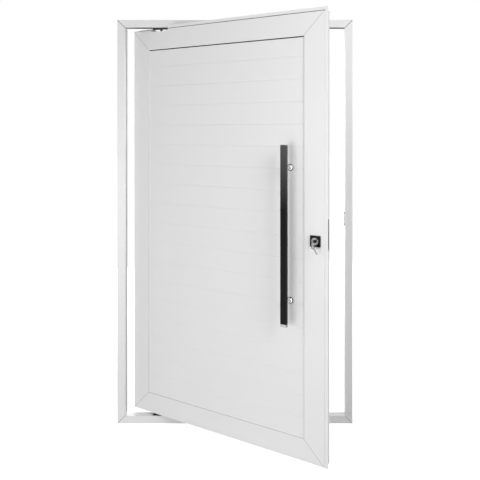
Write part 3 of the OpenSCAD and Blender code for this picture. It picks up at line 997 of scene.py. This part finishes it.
@dataclass
class Studio:
    """The camera of the photograph, a pale floor and soft light."""

    eye: tuple[float, float, float] = (0.2501, -2.908, 1.5208)
    focal_px: float = 555.0
    image_px: float = 480.0
    principal_px: tuple[float, float] = (283.0, 131.3)
    sensor_mm: float = 36.0
    floor_side: float = 60.0
    floor_glow: float = 0.86
    floor_shade: str = "E4E4E4"
    floor_bounce: str = "BCBCBC"
    sky_side: tuple[float, float, float] = (-1.0, 0.0, 0.0)
    sky_strength: float = 1.08
    shown_sky: float = 1.0

    def build(self) -> None:
        """Makes the camera, the floor, the lamps and the world."""
        self._camera()
        self._floor()
        for lamp in LAMPS:
            lamp.add()
        self._world()
        bpy.context.scene.view_settings.view_transform = "Standard"

    def _camera(self) -> None:
        """A level camera, with the shift that the photograph's framing needs."""
        data = bpy.data.cameras.new("photo_camera")
        data.sensor_width = self.sensor_mm
        data.lens = self.focal_px / self.image_px * self.sensor_mm
        data.shift_x = (self.image_px / 2 - self.principal_px[0]) / self.image_px
        data.shift_y = (self.principal_px[1] - self.image_px / 2) / self.image_px
        camera = bpy.data.objects.new("photo_camera", data)
        camera.location = self.eye
        camera.rotation_euler = (math.radians(90), 0.0, 0.0)
        bpy.context.scene.collection.objects.link(camera)
        bpy.context.scene.camera = camera

    @staticmethod
    def _seen(tree: bpy.types.NodeTree) -> bpy.types.NodeSocket:
        """One for rays that show a picture, to the eye, in a mirror or through glass."""
        path = add_node(tree, "ShaderNodeLightPath")
        mirrored = add_node(tree, "ShaderNodeMath", {
            0: path.outputs["Is Glossy Ray"], 1: path.outputs["Is Transmission Ray"]}, operation="MAXIMUM")
        return add_node(tree, "ShaderNodeMath", {
            0: path.outputs["Is Camera Ray"], 1: mirrored.outputs[0]}, operation="MAXIMUM").outputs[0]

    def _floor(self) -> None:
        """A floor that shows white with the door's soft shadow, and throws little light back."""
        mesh = bpy.data.meshes.new("floor")
        half = self.floor_side / 2
        mesh.from_pydata([(-half, -half, 0), (half, -half, 0), (half, half, 0), (-half, half, 0)],
                         [], [(0, 1, 2, 3)])
        floor = bpy.data.objects.new("floor", mesh)
        bpy.context.scene.collection.objects.link(floor)
        paper = bpy.data.materials.new("pale_floor")
        paper.use_nodes = True
        tree = paper.node_tree
        tree.nodes.clear()
        seen = self._seen(tree)
        colour = add_node(tree, "ShaderNodeMix", {
            "Factor": seen, MIX_A: linear(self.floor_bounce), MIX_B: linear(self.floor_shade)},
            data_type="RGBA")
        glow = add_node(tree, "ShaderNodeMath", {0: seen, 1: self.floor_glow}, operation="MULTIPLY")
        matt = add_node(tree, "ShaderNodeBsdfDiffuse", {"Color": colour.outputs[MIX_RESULT]})
        lift = add_node(tree, "ShaderNodeEmission", {"Color": linear(WHITE), "Strength": glow.outputs[0]})
        lit = add_node(tree, "ShaderNodeAddShader", {0: matt.outputs[0], 1: lift.outputs[0]})
        add_node(tree, "ShaderNodeOutputMaterial", {"Surface": lit.outputs[0]})
        mesh.materials.append(paper)

    def _world(self) -> None:
        """White to the eye and in mirrors, but as light it comes from one side only."""
        world = bpy.data.worlds.new("studio")
        bpy.context.scene.world = world
        world.use_nodes = True
        tree = world.node_tree
        tree.nodes.clear()
        towards = add_node(tree, "ShaderNodeTexCoord").outputs["Generated"]
        facing = add_node(tree, "ShaderNodeVectorMath", {0: towards, 1: self.sky_side},
                          operation="DOT_PRODUCT")
        share = add_node(tree, "ShaderNodeMath", {0: facing.outputs["Value"], 1: 0.0}, operation="MAXIMUM")
        strength = add_node(tree, "ShaderNodeMath", {
            0: share.outputs[0], 1: self.sky_strength}, operation="MULTIPLY")
        light = add_node(tree, "ShaderNodeBackground", {
            "Color": linear(WHITE), "Strength": strength.outputs[0]})
        shown = add_node(tree, "ShaderNodeBackground", {"Color": linear(WHITE), "Strength": self.shown_sky})
        mixed = add_node(tree, "ShaderNodeMixShader", {
            0: self._seen(tree), 1: light.outputs[0], 2: shown.outputs[0]})
        add_node(tree, "ShaderNodeOutputWorld", {"Surface": mixed.outputs[0]})


def main() -> None:
    """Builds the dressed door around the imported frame."""
    logging.basicConfig(level=logging.INFO, format="%(name)s: %(message)s")
    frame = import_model()
    Studio().build()
    Dresser(frame["nodes"]).dress()
    plan = DoorPlan()
    Fixings(plan).build()
    Seals(plan).build()
    JointLines(plan).build()
    Keyways(plan).build()


if __name__ == "__main__":
    main()
